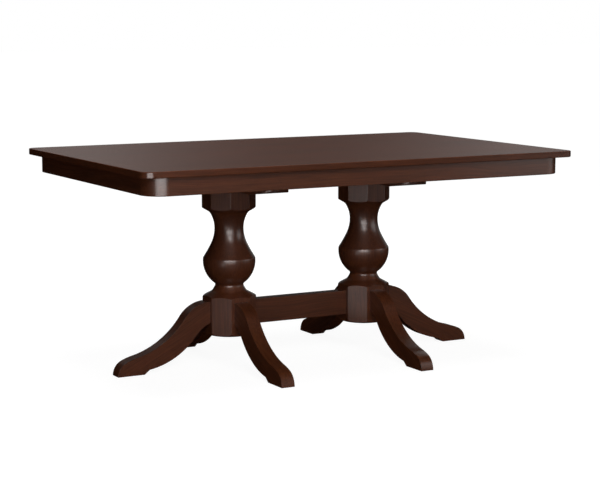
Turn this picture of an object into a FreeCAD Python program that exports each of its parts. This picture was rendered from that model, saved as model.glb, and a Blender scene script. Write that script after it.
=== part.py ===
import FreeCAD, Part
import math
import os
import re

import Sketcher
from FreeCAD import Placement, Rotation, Vector

# Double pedestal dining table in millimetres.
# X runs along the table, Y across it and Z up. The origin is on the floor under the middle of the top.

os.makedirs("parts", exist_ok=True)
doc = FreeCAD.newDocument("double_pedestal_table")
sheet = doc.addObject("Spreadsheet::Sheet", "dimensions")

SIZES = {
    # Top
    "table_height": 762.0,
    "top_length": 1676.4,
    "top_width": 1066.8,
    "top_thickness": 22.2,
    "top_corner_radius": 35.0,
    "top_edge_round": 3.0,
    # Apron, joined at its corners by loose tenons
    "apron_inset": 27.8,
    "apron_height": 61.0,
    "apron_thickness": 22.2,
    "apron_corner_radius": 71.0,
    "apron_edge_ease": 2.0,
    "tenon_thickness": 8.0,
    "tenon_width": 38.0,
    "tenon_length": 36.0,
    "mortise_room": 1.0,
    "mortise_fit": 0.1,
    # Clips that hold the apron to the top, and the groove for their tongues
    "groove_play": 1.2,
    "groove_room": 1.5,
    "clip_thickness": 2.0,
    "clip_width": 20.0,
    "clip_drop": 11.0,
    "clip_tongue": 8.0,
    "clip_foot": 24.0,
    "clip_hole": 5.0,
    "clip_rail_gap": 1.5,
    "clip_end_distance": 215.0,
    # Runners under the top and the mounting plates that they carry
    "runner_end_inset": 178.2,
    "runner_width": 44.0,
    "runner_height": 69.85,
    "runner_spacing": 400.0,
    "runner_end_cut": 25.0,
    "plate_length": 609.6,
    "plate_width": 152.4,
    "plate_thickness": 25.4,
    "plate_edge_ease": 2.5,
    # Columns: the lower block ends just above the legs, and the turned rises share the height that is left
    "pedestal_spacing": 558.4,
    "column_flats": 177.8,
    "column_foot": 113.0,
    "drum_margin": 4.0,
    "rim_radius": 80.0,
    "rim_rise": 18.0,
    "rim_bulge": 3.5,
    "block_margin": 10.0,
    "collar_rise": 20.7,
    "collar_radius": 61.0,
    "waist_rise": 23.0,
    "waist_radius": 49.6,
    "bowl_rise": 94.0,
    "ridge_radius": 92.8,
    "flare_rise": 105.0,
    "flare_turn_ratio": 0.67,
    "neck_radius": 50.9,
    "sweep_rise": 64.4,
    "cove_radius": 75.7,
    "upper_shoulder_rise": 12.6,
    "upper_block_rise": 77.5,
    # Recess in the foot of each column
    "recess_width": 90.0,
    "recess_headroom": 10.0,
    "recess_corner": 16.0,
    # Legs: the reach is from the column's flat, the radii are those of the arcs from the root to the toe
    "leg_thickness": 49.5,
    "leg_reach": 354.2,
    "leg_root_top": 237.3,
    "leg_root_depth": 76.1,
    "leg_shoulder_radius": 119.0,
    "leg_instep_radius": 310.0,
    "leg_foot_radius": 207.5,
    "leg_toe_radius": 53.6,
    "leg_toe_lean": 24.3,
    "leg_sole_length": 100.0,
    "leg_heel_set": 19.3,
    "leg_heel_rise": 15.4,
    "leg_arch_radius": 281.0,
    "leg_haunch_radius": 137.0,
    "leg_haunch_lean": 23.0,
    "leg_edge_ease": 2.5,
    # Stretcher
    "stretcher_drop": 5.3,
    "stretcher_depth": 88.9,
    "stretcher_thickness": 44.5,
    "stretcher_edge_ease": 2.5,
    # Hanger bolts of the legs and stretcher, spread over a share of the leg's root
    "bolt_diameter": 9.5,
    "bolt_spread_ratio": 0.42,
    "bolt_bite": 50.0,
    "bolt_spare_thread": 3.0,
    "hole_clearance": 0.8,
    "thread_fit": 0.1,
    "washer_diameter": 25.0,
    "washer_thickness": 2.0,
    "nut_corners": 16.5,
    "nut_thickness": 8.3,
    # Lag screws from the plates into the columns
    "lag_diameter": 8.0,
    "lag_end_room": 17.5,
    "lag_offset": 48.0,
    "lag_head_corners": 15.0,
    "lag_head_thickness": 5.3,
}

for row, (alias, value) in enumerate(SIZES.items(), start=1):
    sheet.set(f"A{row}", alias.replace("_", " "))
    sheet.set(f"B{row}", str(value))
    sheet.setAlias(f"B{row}", alias)
doc.recompute()

OCTAGON_TURN = math.pi / 8
FASTENER_SIDES = 8
NUT_SIDES = 6
START_HALF = 10.0
NEAR = 1e-4
PARALLEL = 0.999
UP = Vector(0, 0, 1)
ALONG = Vector(1, 0, 0)
FLIP_DOWN = Rotation(ALONG, 180)


def size(alias):
    return float(sheet.get(alias))


def bind(item, name, formula):
    """Ties a property to a formula in the aliases of the sheet."""
    item.setExpression(name, re.sub(r"[a-z_]{3,}", lambda word: "dimensions." + word.group(), formula))


TOP_UNDERSIDE = size("table_height") - size("top_thickness")
PLATE_TOP = TOP_UNDERSIDE - size("runner_height")
PLATE_BOTTOM = PLATE_TOP - size("plate_thickness")
PLATE_BOTTOM_FORMULA = "table_height - top_thickness - runner_height - plate_thickness"
APRON_BOTTOM = TOP_UNDERSIDE - size("apron_height")
APRON_HALF_LENGTH = size("top_length") / 2 - size("apron_inset")
APRON_HALF_WIDTH = size("top_width") / 2 - size("apron_inset")
APRON_CENTRE_X = APRON_HALF_LENGTH - size("apron_corner_radius")
APRON_CENTRE_Y = APRON_HALF_WIDTH - size("apron_corner_radius")
RAIL_LONG = "top_length - 2 * apron_inset - 2 * apron_corner_radius"
RAIL_SHORT = "top_width - 2 * apron_inset - 2 * apron_corner_radius"
MORTISE_DEPTH = "tenon_length / 2 + mortise_room"
COLUMN_FLAT = size("column_flats") / 2
COLUMN_CORNER = COLUMN_FLAT / math.cos(OCTAGON_TURN)


def both_sides(distance):
    return (-distance, distance)


LEG_ROOT_BOTTOM = size("leg_root_top") - size("leg_root_depth")
BOLT_MIDDLE = size("leg_root_top") - size("leg_root_depth") / 2
BOLT_SPREAD = size("leg_root_depth") * size("bolt_spread_ratio")
BOLT_LEVELS = [BOLT_MIDDLE + side for side in both_sides(BOLT_SPREAD / 2)]
BOLT_TOP_FORMULA = "leg_root_top - leg_root_depth * (1 - bolt_spread_ratio) / 2"
RISES = ("collar_rise", "waist_rise", "bowl_rise", "flare_rise", "sweep_rise", "upper_shoulder_rise",
         "upper_block_rise")
LOWER_SHOULDER = size("leg_root_top") + size("block_margin")
RISE_SHARE = (PLATE_BOTTOM - LOWER_SHOULDER) / sum(size(rise) for rise in RISES)
RISE_SHARE_FORMULA = f"({PLATE_BOTTOM_FORMULA} - leg_root_top - block_margin) / ({' + '.join(RISES)})"
LAG_BITE_FORMULA = f"upper_block_rise * {RISE_SHARE_FORMULA} - lag_end_room"
PEDESTALS = dict(zip(("left", "right"), both_sides(size("pedestal_spacing") / 2)))
RUNNER_ROWS = dict(zip(("front", "back"), both_sides(size("runner_spacing") / 2)))
LAG_PLACES = [(x, y) for x in both_sides(size("lag_offset")) for y in both_sides(size("lag_offset"))]
CLIP_STEPS_LONG = both_sides(APRON_CENTRE_X - size("clip_end_distance"))
CLIP_STEPS_END = both_sides(APRON_CENTRE_Y - size("clip_end_distance"))
LEG_DIRECTIONS = {
    "left": {"end": 180, "front": 270, "back": 90},
    "right": {"end": 0, "front": 270, "back": 90},
}


def new_body(label):
    body = doc.addObject("PartDesign::Body", label)
    body.Label = label
    return body


def origin_plane(body, role):
    return next(item for item in body.Origin.OriginFeatures if item.Role == role)


def new_sketch(body, plane, name, lift=0.0):
    """A sketch on one of the body's origin planes, moved along the plane's normal by lift."""
    sketch = body.newObject("Sketcher::SketchObject", f"{body.Name}_{name}")
    sketch.AttachmentSupport = [(origin_plane(body, plane), "")]
    sketch.MapMode = "FlatFace"
    sketch.AttachmentOffset = Placement(Vector(0, 0, lift), Rotation())
    return sketch


def closed_outline(sketch, edges):
    sketch.addGeometry(edges, False)


def spot(x, y):
    return Vector(x, y, 0)


def lines_through(points):
    ends = points[1:] + points[:1]
    return [Part.LineSegment(spot(*start), spot(*end)) for start, end in zip(points, ends)]


def polygon(sides, corners, x=0.0, y=0.0, first=0.0):
    """Corner points of a regular polygon, with the given size across its corners."""
    angles = [first + 2 * math.pi * k / sides for k in range(sides)]
    return [(x + corners / 2 * math.cos(a), y + corners / 2 * math.sin(a)) for a in angles]


def bound_distance(sketch, kind, line, formula):
    index = sketch.addConstraint(Sketcher.Constraint(kind, line, 1, line, 2, 2 * START_HALF))
    bind(sketch, f"Constraints[{index}]", formula)


def centred_rectangle(sketch, across, along):
    """A rectangle about the sketch's origin, with both sides tied to the sheet."""
    low, high = both_sides(START_HALF)
    closed_outline(sketch, lines_through([(low, low), (high, low), (high, high), (low, high)]))
    for line in range(4):
        sketch.addConstraint(Sketcher.Constraint("Coincident", line, 2, (line + 1) % 4, 1))
    for line in (0, 2):
        sketch.addConstraint(Sketcher.Constraint("Horizontal", line))
        sketch.addConstraint(Sketcher.Constraint("Vertical", line + 1))
    sketch.addConstraint(Sketcher.Constraint("Symmetric", 0, 1, 1, 2, -1, 1))
    bound_distance(sketch, "DistanceX", 0, across)
    bound_distance(sketch, "DistanceY", 1, along)


def holes(sketch, places, diameter):
    """Small many-sided holes that match the section of the fasteners."""
    for x, y in places:
        closed_outline(sketch, lines_through(polygon(FASTENER_SIDES, diameter, x, y)))


def pad(body, sketch, length, symmetric=False):
    feature = body.newObject("PartDesign::Pad", sketch.Name + "_pad")
    feature.Profile = sketch
    feature.SideType = "Symmetric" if symmetric else "One side"
    bind(feature, "Length", length)
    doc.recompute()


def pocket(body, sketch, depth=None, reverse=False):
    """Cuts against the sketch's normal, or along it when reversed; with no depth it cuts right through."""
    before = body.Shape.Volume
    feature = body.newObject("PartDesign::Pocket", sketch.Name + "_pocket")
    feature.Profile = sketch
    feature.Reversed = reverse
    if depth is None:
        feature.Type = "ThroughAll"
        feature.SideType = "Symmetric"
    else:
        bind(feature, "Length", depth)
    doc.recompute()
    if not body.Shape.Volume < before:
        raise RuntimeError(f"{feature.Name} cuts nothing")
    return feature


def turn(body, sketch):
    feature = body.newObject("PartDesign::Revolution", sketch.Name + "_turned")
    feature.Profile = sketch
    feature.ReferenceAxis = (sketch, ["V_Axis"])
    feature.Angle = 360.0
    doc.recompute()


def mirror(body, feature, plane):
    copy = body.newObject("PartDesign::Mirrored", feature.Name + "_mirrored")
    copy.Originals = [feature]
    copy.MirrorPlane = (origin_plane(body, plane), [""])
    body.Tip = copy
    doc.recompute()


def dress_edges(body, kind, formula, wanted):
    """Rounds or eases the edges of the tip for which wanted(edge) is true."""
    base = body.Tip
    names = [f"Edge{n}" for n, edge in enumerate(base.Shape.Edges, start=1) if wanted(edge)]
    feature = body.newObject(f"PartDesign::{kind}", f"{body.Name}_{kind.lower()}")
    feature.Base = (base, names)
    bind(feature, {"Fillet": "Radius", "Chamfer": "Size"}[kind], formula)
    doc.recompute()


def runs_along(edge, axis):
    direction = edge.Vertexes[-1].Point - edge.Vertexes[0].Point
    is_line = edge.Curve.TypeId == "Part::GeomLine"
    return is_line and abs(direction.dot(axis)) > PARALLEL * direction.Length


def is_arc(edge):
    return edge.Curve.TypeId == "Part::GeomCircle"


def level(edge, height):
    return abs(edge.BoundBox.ZMin - height) < NEAR and abs(edge.BoundBox.ZMax - height) < NEAR


def point_along(direction):
    """Turns a piece built along +X to the given direction in degrees about Z."""
    return Rotation(UP, direction)


def group(label, master, places):
    """Copies of one master, each a separate solid, as one named sub-part."""
    copies = []
    for place in places:
        copy = master.Shape.copy()
        copy.Placement = place
        copies.append(copy)
    feature = doc.addObject("Part::Feature", label)
    feature.Label = label
    feature.Shape = Part.makeCompound(copies)
    feature.Placement = Placement()
    return feature


# Curves of the outlines, drawn with x outwards and y upwards

def line(start, end):
    return Part.LineSegment(start, end)


def bulged(start, end, bulge):
    """An arc whose middle stands off its chord, to the right of the way from start to end."""
    chord = end - start
    right = Vector(chord.y, -chord.x, 0).normalize()
    return Part.Arc(start, (start + end) * 0.5 + right * bulge, end)


def globe_arc(start, end):
    """The arc from start to end about a centre on the axis, which turns into part of a sphere."""
    height = (end.dot(end) - start.dot(start)) / (2 * (end.y - start.y))
    centre = spot(0, height)
    return sweep(centre, (end - centre).Length, lean_of(start - centre), lean_of(end - centre))


def tangent_arc(start, direction, end):
    """The arc that leaves start in the given direction and reaches end."""
    chord = end - start
    side = Vector(-direction.y, direction.x, 0)
    offset = chord.dot(side)
    centre = start + side * (chord.Length ** 2 / (2 * offset))
    middle = (start + end) * 0.5 - centre
    radius = (start - centre).Length
    return Part.Arc(start, centre + middle.normalize() * radius, end)


def line_and_arc(start, turn, end):
    """A line from start towards the turn, then an arc tangent to it and to the way from the turn to end."""
    direction = (turn - start).normalize()
    joint = turn - direction * (end - turn).Length
    return [line(start, joint), tangent_arc(joint, direction, end)]


def biarc(start, start_direction, end, end_direction):
    """Two arcs with a common tangent that leave start and reach end in the given directions."""
    way = end - start
    both = start_direction + end_direction
    spread = 2 * (1 - start_direction.dot(end_direction))
    run = way.dot(both)
    reach = (math.sqrt(run ** 2 + spread * way.Length ** 2) - run) / spread
    first_turn = start + start_direction * reach
    second_turn = end - end_direction * reach
    joint = (first_turn + second_turn) * 0.5
    joint_direction = (second_turn - first_turn).normalize()
    return [tangent_arc(start, start_direction, joint), tangent_arc(joint, joint_direction, end)]


def leaning(angle):
    """The direction that leans outwards from upright by the angle."""
    return spot(math.sin(angle), math.cos(angle))


def lean_of(direction):
    return math.atan2(direction.x, direction.y)


def sweep(centre, radius, start, end):
    """An arc between two leans; with a negative radius it lies on the near side of its centre."""
    return Part.Arc(*[centre + leaning(angle) * radius for angle in (start, (start + end) / 2, end)])


def common_centre(first, first_distance, second, second_distance):
    """The point at two distances from two others, on the left of the way between them."""
    way = second - first
    length = way.Length
    along = (first_distance ** 2 - second_distance ** 2 + length ** 2) / (2 * length)
    aside = math.sqrt(first_distance ** 2 - along ** 2)
    ahead = way * (1 / length)
    return first + ahead * along + spot(-ahead.y, ahead.x) * aside


# Table top

def make_top():
    body = new_body("table_top")
    outline = new_sketch(body, "XY_Plane", "outline", TOP_UNDERSIDE)
    centred_rectangle(outline, "top_length", "top_width")
    pad(body, outline, "top_thickness")
    dress_edges(body, "Fillet", "top_corner_radius", lambda edge: runs_along(edge, UP))
    faces = (TOP_UNDERSIDE, size("table_height"))
    dress_edges(body, "Fillet", "top_edge_round", lambda edge: any(level(edge, z) for z in faces))
    return body


# Apron

def mortise(sketch, x, y):
    half_thick = (size("tenon_thickness") + size("mortise_fit")) / 2
    half_wide = (size("tenon_width") + size("mortise_fit")) / 2
    closed_outline(sketch, lines_through([
        (x - half_thick, y - half_wide), (x + half_thick, y - half_wide),
        (x + half_thick, y + half_wide), (x - half_thick, y + half_wide),
    ]))


def make_rail(label, length, place):
    """A straight rail along X with its outer face at y = 0 and the room inside at +Y."""
    body = new_body(label)
    outline = new_sketch(body, "YZ_Plane", "outline")
    thick, tall = size("apron_thickness"), size("apron_height")
    groove_top = tall - size("clip_drop")
    groove_bottom = groove_top - size("clip_thickness") - size("groove_play")
    groove_floor = thick - size("clip_tongue") - size("groove_room")
    closed_outline(outline, lines_through([
        (0, 0), (thick, 0), (thick, groove_bottom), (groove_floor, groove_bottom),
        (groove_floor, groove_top), (thick, groove_top), (thick, tall), (0, tall),
    ]))
    pad(body, outline, length, symmetric=True)

    def lower_outer(edge):
        return runs_along(edge, ALONG) and level(edge, 0) and edge.BoundBox.YMax < NEAR

    dress_edges(body, "Chamfer", "apron_edge_ease", lower_outer)
    end = new_sketch(body, "YZ_Plane", "mortise", body.Shape.BoundBox.XMax)
    mortise(end, thick / 2, tall / 2)
    cut = pocket(body, end, MORTISE_DEPTH)
    mirror(body, cut, "YZ_Plane")
    body.Placement = place
    return body


def make_corner(label, place):
    """A quarter-round block about the arc's centre, with its ends at x = 0 and y = 0."""
    body = new_body(label)
    outer = size("apron_corner_radius")
    inner = outer - size("apron_thickness")
    outline = new_sketch(body, "XY_Plane", "outline")
    closed_outline(outline, [
        sweep(spot(0, 0), -outer, 0, math.pi / 2),
        line(spot(-outer, 0), spot(-inner, 0)),
        line(spot(-inner, 0), spot(0, -inner)),
        line(spot(0, -inner), spot(0, -outer)),
    ])
    pad(body, outline, "apron_height")
    dress_edges(body, "Chamfer", "apron_edge_ease", lambda edge: is_arc(edge) and level(edge, 0))
    middle = outer - size("apron_thickness") / 2
    front_end = new_sketch(body, "YZ_Plane", "front_mortise")
    mortise(front_end, -middle, size("apron_height") / 2)
    pocket(body, front_end, MORTISE_DEPTH)
    side_end = new_sketch(body, "XZ_Plane", "side_mortise")
    mortise(side_end, -middle, size("apron_height") / 2)
    pocket(body, side_end, MORTISE_DEPTH, reverse=True)
    body.Placement = place
    return body


def make_apron():
    pieces = []
    rails = {
        "front": (RAIL_LONG, 0, -APRON_HALF_WIDTH),
        "right": (RAIL_SHORT, APRON_HALF_LENGTH, 0),
        "back": (RAIL_LONG, 0, APRON_HALF_WIDTH),
        "left": (RAIL_SHORT, -APRON_HALF_LENGTH, 0),
    }
    for quarter, (side, (length, x, y)) in enumerate(rails.items()):
        place = Placement(Vector(x, y, APRON_BOTTOM), point_along(90 * quarter))
        pieces.append(make_rail(f"apron_rail_{side}", length, place))
    corners = {"front_left": (-1, -1), "front_right": (1, -1), "back_right": (1, 1), "back_left": (-1, 1)}
    for quarter, (name, (side_x, side_y)) in enumerate(corners.items()):
        centre = Vector(side_x * APRON_CENTRE_X, side_y * APRON_CENTRE_Y, APRON_BOTTOM)
        pieces.append(make_corner(f"apron_corner_{name}", Placement(centre, point_along(90 * quarter))))
    return pieces


def make_tenons():
    master = new_body("tenon")
    section = new_sketch(master, "YZ_Plane", "section")
    centred_rectangle(section, "tenon_thickness", "tenon_width")
    pad(master, section, "tenon_length", symmetric=True)
    middle = size("apron_thickness") / 2
    height = APRON_BOTTOM + size("apron_height") / 2
    places = []
    for x in (-1, 1):
        for y in (-1, 1):
            on_long = Vector(x * APRON_CENTRE_X, y * (APRON_HALF_WIDTH - middle), height)
            on_end = Vector(x * (APRON_HALF_LENGTH - middle), y * APRON_CENTRE_Y, height)
            places += [Placement(on_long, point_along(0)), Placement(on_end, point_along(90))]
    return group("apron_tenons", master, places)


def clip_places():
    """Where each clip meets the inner face of its rail, with the direction that points into the room."""
    long_face = APRON_HALF_WIDTH - size("apron_thickness")
    end_face = APRON_HALF_LENGTH - size("apron_thickness")
    places = [(x, -long_face, 90) for x in CLIP_STEPS_LONG] + [(x, long_face, 270) for x in CLIP_STEPS_LONG]
    places += [(-end_face, y, 0) for y in CLIP_STEPS_END] + [(end_face, y, 180) for y in CLIP_STEPS_END]
    return places


def make_clips():
    """Z-shaped clips: a tongue in the rail's groove, a riser and a foot under the top with a screw hole."""
    master = new_body("clip")
    thick, drop, tongue = size("clip_thickness"), size("clip_drop"), size("clip_tongue")
    riser = size("clip_rail_gap")
    foot_end = riser + thick + size("clip_foot")
    outline = new_sketch(master, "XZ_Plane", "outline")
    closed_outline(outline, lines_through([
        (-tongue, -drop), (-tongue, -drop - thick), (riser + thick, -drop - thick), (riser + thick, -thick),
        (foot_end, -thick), (foot_end, 0), (riser, 0), (riser, -drop),
    ]))
    pad(master, outline, "clip_width", symmetric=True)
    hole = new_sketch(master, "XY_Plane", "hole")
    holes(hole, [(foot_end - size("clip_foot") / 2, 0)], size("clip_hole"))
    pocket(master, hole, "clip_thickness")
    return group("apron_clips", master, [
        Placement(Vector(x, y, TOP_UNDERSIDE), point_along(inward)) for x, y, inward in clip_places()
    ])


# Bolts, nuts and washers stand along Z as plain prisms, because they are hidden

def prism(label, sides, corners, height, lift="0"):
    item = doc.addObject("Part::Prism", label)
    item.Polygon = sides
    bind(item, "Circumradius", f"({corners}) / 2")
    bind(item, "Height", height)
    bind(item, "Placement.Base.z", lift)
    return item


def make_ring(label, sides, corners, hole, thickness):
    ring = doc.addObject("Part::Cut", label)
    ring.Base = prism(label + "_blank", sides, corners, thickness)
    ring.Tool = prism(label + "_hole", FASTENER_SIDES, hole, thickness)
    doc.recompute()
    return ring


# Runners and mounting plates

def make_runner(label, y):
    body = new_body(label)
    outline = new_sketch(body, "XZ_Plane", "outline")
    half = size("top_length") / 2 - size("runner_end_inset")
    tall, cut = size("runner_height"), size("runner_end_cut")
    closed_outline(outline, lines_through([
        (-half, cut), (-half + cut, 0), (half - cut, 0), (half, cut), (half, tall), (-half, tall),
    ]))
    pad(body, outline, "runner_width", symmetric=True)
    body.Placement = Placement(Vector(0, y, PLATE_TOP), Rotation())
    return body


def make_plate(label, x):
    body = new_body(label)
    outline = new_sketch(body, "XY_Plane", "outline")
    centred_rectangle(outline, "plate_width", "plate_length")
    pad(body, outline, "plate_thickness")
    dress_edges(body, "Chamfer", "plate_edge_ease", lambda edge: level(edge, 0))
    lag_holes = new_sketch(body, "XY_Plane", "lag_holes")
    holes(lag_holes, LAG_PLACES, size("lag_diameter") + size("hole_clearance"))
    pocket(body, lag_holes)
    body.Placement = Placement(Vector(x, 0, PLATE_BOTTOM), Rotation())
    return body


def make_column_screws():
    """Lag screws driven down through the mounting plates into the heads of the columns."""
    screw = doc.addObject("Part::MultiFuse", "lag_screw")
    screw.Shapes = [
        prism("lag_head", NUT_SIDES, "lag_head_corners", "lag_head_thickness", "-lag_head_thickness"),
        prism("lag_shank", FASTENER_SIDES, "lag_diameter", f"plate_thickness + {LAG_BITE_FORMULA}"),
    ]
    doc.recompute()
    return group("column_screws", screw, [
        Placement(Vector(x + dx, dy, PLATE_TOP), FLIP_DOWN)
        for x in PEDESTALS.values() for dx, dy in LAG_PLACES
    ])


# Columns

def turned_outline():
    """Half of the turned column, with plain drums where the octagonal blocks are cut."""
    foot = size("column_foot")
    drum = COLUMN_CORNER + size("drum_margin")
    heights = [LOWER_SHOULDER]
    for rise in RISES:
        heights.append(heights[-1] + size(rise) * RISE_SHARE)
    collar = spot(size("collar_radius"), heights[1])
    waist = spot(size("waist_radius"), heights[2])
    ridge = spot(size("ridge_radius"), heights[3])
    neck = spot(size("neck_radius"), heights[4])
    cove = spot(size("cove_radius"), heights[5])

    lower_slope = (spot(COLUMN_CORNER, heights[0]) - collar).normalize()
    lower_drum = collar + lower_slope * ((drum - collar.x) / lower_slope.x)
    upper_slope = (spot(COLUMN_CORNER, heights[6]) - cove).normalize()
    upper_drum = cove + upper_slope * ((drum - cove.x) / upper_slope.x)

    flare_turn = spot(neck.x, ridge.y + (neck.y - ridge.y) * size("flare_turn_ratio"))

    rim_start = spot(size("rim_radius"), foot)
    rim_end = spot(drum, foot + size("rim_rise"))
    head = spot(drum, PLATE_BOTTOM)
    head_centre = spot(0, PLATE_BOTTOM)
    foot_centre = spot(0, foot)
    return [
        line(foot_centre, rim_start),
        bulged(rim_start, rim_end, size("rim_bulge")),
        line(rim_end, lower_drum),
        line(lower_drum, collar),
        line(collar, waist),
        globe_arc(waist, ridge),
        *line_and_arc(ridge, flare_turn, neck),
        *biarc(neck, leaning(0), cove, upper_slope),
        line(cove, upper_drum),
        line(upper_drum, head),
        line(head, head_centre),
        line(head_centre, foot_centre),
    ]


def cut_flats(body, name, height, depth, upwards):
    """Cuts eight flats on a drum, from the given height."""
    flats = new_sketch(body, "XY_Plane", name, height)
    closed_outline(flats, lines_through(polygon(8, 2 * COLUMN_CORNER, first=OCTAGON_TURN)))
    closed_outline(flats, lines_through(polygon(4, 4 * COLUMN_CORNER)))
    pocket(body, flats, depth, reverse=upwards)


def make_column(label, x):
    """A turned column with octagonal blocks, recessed from below and bored for the bolts."""
    body = new_body(label)
    foot = size("column_foot")
    outline = new_sketch(body, "XZ_Plane", "outline")
    closed_outline(outline, turned_outline())
    turn(body, outline)
    lower_depth = "leg_root_top + block_margin + collar_rise - column_foot"
    upper_depth = f"(upper_block_rise + upper_shoulder_rise + sweep_rise) * {RISE_SHARE_FORMULA}"
    cut_flats(body, "lower_flats", foot, lower_depth, upwards=True)
    cut_flats(body, "upper_flats", PLATE_BOTTOM, upper_depth, upwards=False)
    recess = new_sketch(body, "XY_Plane", "recess", foot)
    centred_rectangle(recess, "recess_width", "recess_width")
    recess_depth = f"{BOLT_TOP_FORMULA} + washer_diameter / 2 + recess_headroom - column_foot"
    pocket(body, recess, recess_depth, reverse=True)
    half_recess = size("recess_width") / 2

    def inner_corner(edge):
        centre = edge.BoundBox.Center
        off_corner = max(abs(abs(centre.x) - half_recess), abs(abs(centre.y) - half_recess))
        return runs_along(edge, UP) and off_corner < NEAR

    dress_edges(body, "Fillet", "recess_corner", inner_corner)
    for plane in ("YZ_Plane", "XZ_Plane"):
        bolt_holes = new_sketch(body, plane, "bolt_holes_" + plane[:2].lower())
        holes(bolt_holes, [(0, z) for z in BOLT_LEVELS], size("bolt_diameter") + size("hole_clearance"))
        pocket(body, bolt_holes)
    pilots = new_sketch(body, "XY_Plane", "lag_holes", PLATE_BOTTOM)
    holes(pilots, LAG_PLACES, size("lag_diameter") + size("thread_fit"))
    pocket(body, pilots, LAG_BITE_FORMULA)
    body.Placement = Placement(Vector(x, 0, 0), Rotation())
    return body


# Legs and stretcher

def leg_top_edge():
    """From the root down to the toe: shoulder, instep, foot and toe arcs, each tangent to the next."""
    shoulder, instep = size("leg_shoulder_radius"), size("leg_instep_radius")
    foot, toe = size("leg_foot_radius"), size("leg_toe_radius")
    toe_lean = math.radians(size("leg_toe_lean"))
    shoulder_centre = spot(0, size("leg_root_top") - shoulder)
    toe_centre = spot(size("leg_reach") - toe, 0)
    foot_centre = toe_centre + leaning(toe_lean) * (toe - foot)
    instep_centre = common_centre(shoulder_centre, shoulder + instep, foot_centre, foot + instep)
    shoulder_lean = lean_of(instep_centre - shoulder_centre)
    ankle_lean = lean_of(instep_centre - foot_centre)
    return [
        sweep(shoulder_centre, shoulder, 0, shoulder_lean),
        sweep(instep_centre, -instep, shoulder_lean, ankle_lean),
        sweep(foot_centre, foot, ankle_lean, toe_lean),
        sweep(toe_centre, toe, toe_lean, math.pi / 2),
    ]


def leg_under_edge(heel_top):
    """From the heel up to the root: the long hollow and the haunch, tangent to each other."""
    haunch, arch = size("leg_haunch_radius"), size("leg_arch_radius")
    haunch_lean = math.radians(size("leg_haunch_lean"))
    haunch_centre = spot(0, LEG_ROOT_BOTTOM) - leaning(haunch_lean) * haunch
    arch_centre = common_centre(haunch_centre, haunch + arch, heel_top, arch)
    joint_lean = lean_of(arch_centre - haunch_centre)
    return [
        sweep(arch_centre, -arch, lean_of(arch_centre - heel_top), joint_lean),
        sweep(haunch_centre, haunch, joint_lean, haunch_lean),
    ]


def make_leg(label, x, direction):
    body = new_body(label)
    outline = new_sketch(body, "XZ_Plane", "outline")
    toe = spot(size("leg_reach"), 0)
    heel = toe - spot(size("leg_sole_length"), 0)
    heel_top = heel + spot(-size("leg_heel_set"), size("leg_heel_rise"))
    closed_outline(outline, [
        *leg_top_edge(),
        line(toe, heel),
        line(heel, heel_top),
        *leg_under_edge(heel_top),
        line(spot(0, LEG_ROOT_BOTTOM), spot(0, size("leg_root_top"))),
    ])
    pad(body, outline, "leg_thickness", symmetric=True)
    dress_edges(body, "Chamfer", "leg_edge_ease", is_arc)
    bolt_holes = new_sketch(body, "YZ_Plane", "bolt_holes")
    holes(bolt_holes, [(0, z) for z in BOLT_LEVELS], size("bolt_diameter") + size("thread_fit"))
    pocket(body, bolt_holes, "bolt_bite", reverse=True)
    angle = math.radians(direction)
    root = Vector(x + COLUMN_FLAT * math.cos(angle), COLUMN_FLAT * math.sin(angle), 0)
    body.Placement = Placement(root, point_along(direction))
    return body


def make_stretcher():
    body = new_body("stretcher")
    section = new_sketch(body, "YZ_Plane", "section")
    centred_rectangle(section, "stretcher_thickness", "stretcher_depth")
    pad(body, section, "pedestal_spacing - column_flats", symmetric=True)
    dress_edges(body, "Chamfer", "stretcher_edge_ease", lambda edge: runs_along(edge, ALONG))
    middle = size("leg_root_top") - size("stretcher_drop") - size("stretcher_depth") / 2
    end = new_sketch(body, "YZ_Plane", "bolt_holes", size("pedestal_spacing") / 2 - COLUMN_FLAT)
    holes(end, [(0, z - middle) for z in BOLT_LEVELS], size("bolt_diameter") + size("thread_fit"))
    cut = pocket(body, end, "bolt_bite")
    mirror(body, cut, "YZ_Plane")
    body.Placement = Placement(Vector(0, 0, middle), Rotation())
    return body


def bolt_places(distance):
    """Each bolt's line, at a distance from its column's axis."""
    lean = Rotation(Vector(0, 1, 0), 90)
    places = []
    for x in PEDESTALS.values():
        for direction in (0, 90, 180, 270):
            angle = math.radians(direction)
            for z in BOLT_LEVELS:
                start = Vector(x + distance * math.cos(angle), distance * math.sin(angle), z)
                places.append(Placement(start, point_along(direction) * lean))
    return places


def make_base_fasteners():
    """Hanger bolts from each recess into the legs and stretcher, with a washer and nut on the recess wall."""
    washer_seat = size("recess_width") / 2 - size("washer_thickness")
    nut_seat = washer_seat - size("nut_thickness")
    bolt_start = nut_seat - size("bolt_spare_thread")
    inside = "washer_thickness + nut_thickness + bolt_spare_thread"
    bolt_length = f"(column_flats - recess_width) / 2 + bolt_bite + {inside}"
    bolt = prism("hanger_bolt", FASTENER_SIDES, "bolt_diameter", bolt_length)
    washer = make_ring("bolt_washer", FASTENER_SIDES, "washer_diameter", "bolt_diameter + hole_clearance",
                       "washer_thickness")
    nut = make_ring("bolt_nut", NUT_SIDES, "nut_corners", "bolt_diameter + thread_fit", "nut_thickness")
    doc.recompute()
    return [
        group("base_bolts", bolt, bolt_places(bolt_start)),
        group("base_washers", washer, bolt_places(washer_seat)),
        group("base_nuts", nut, bolt_places(nut_seat)),
    ]


# Assembly

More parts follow.
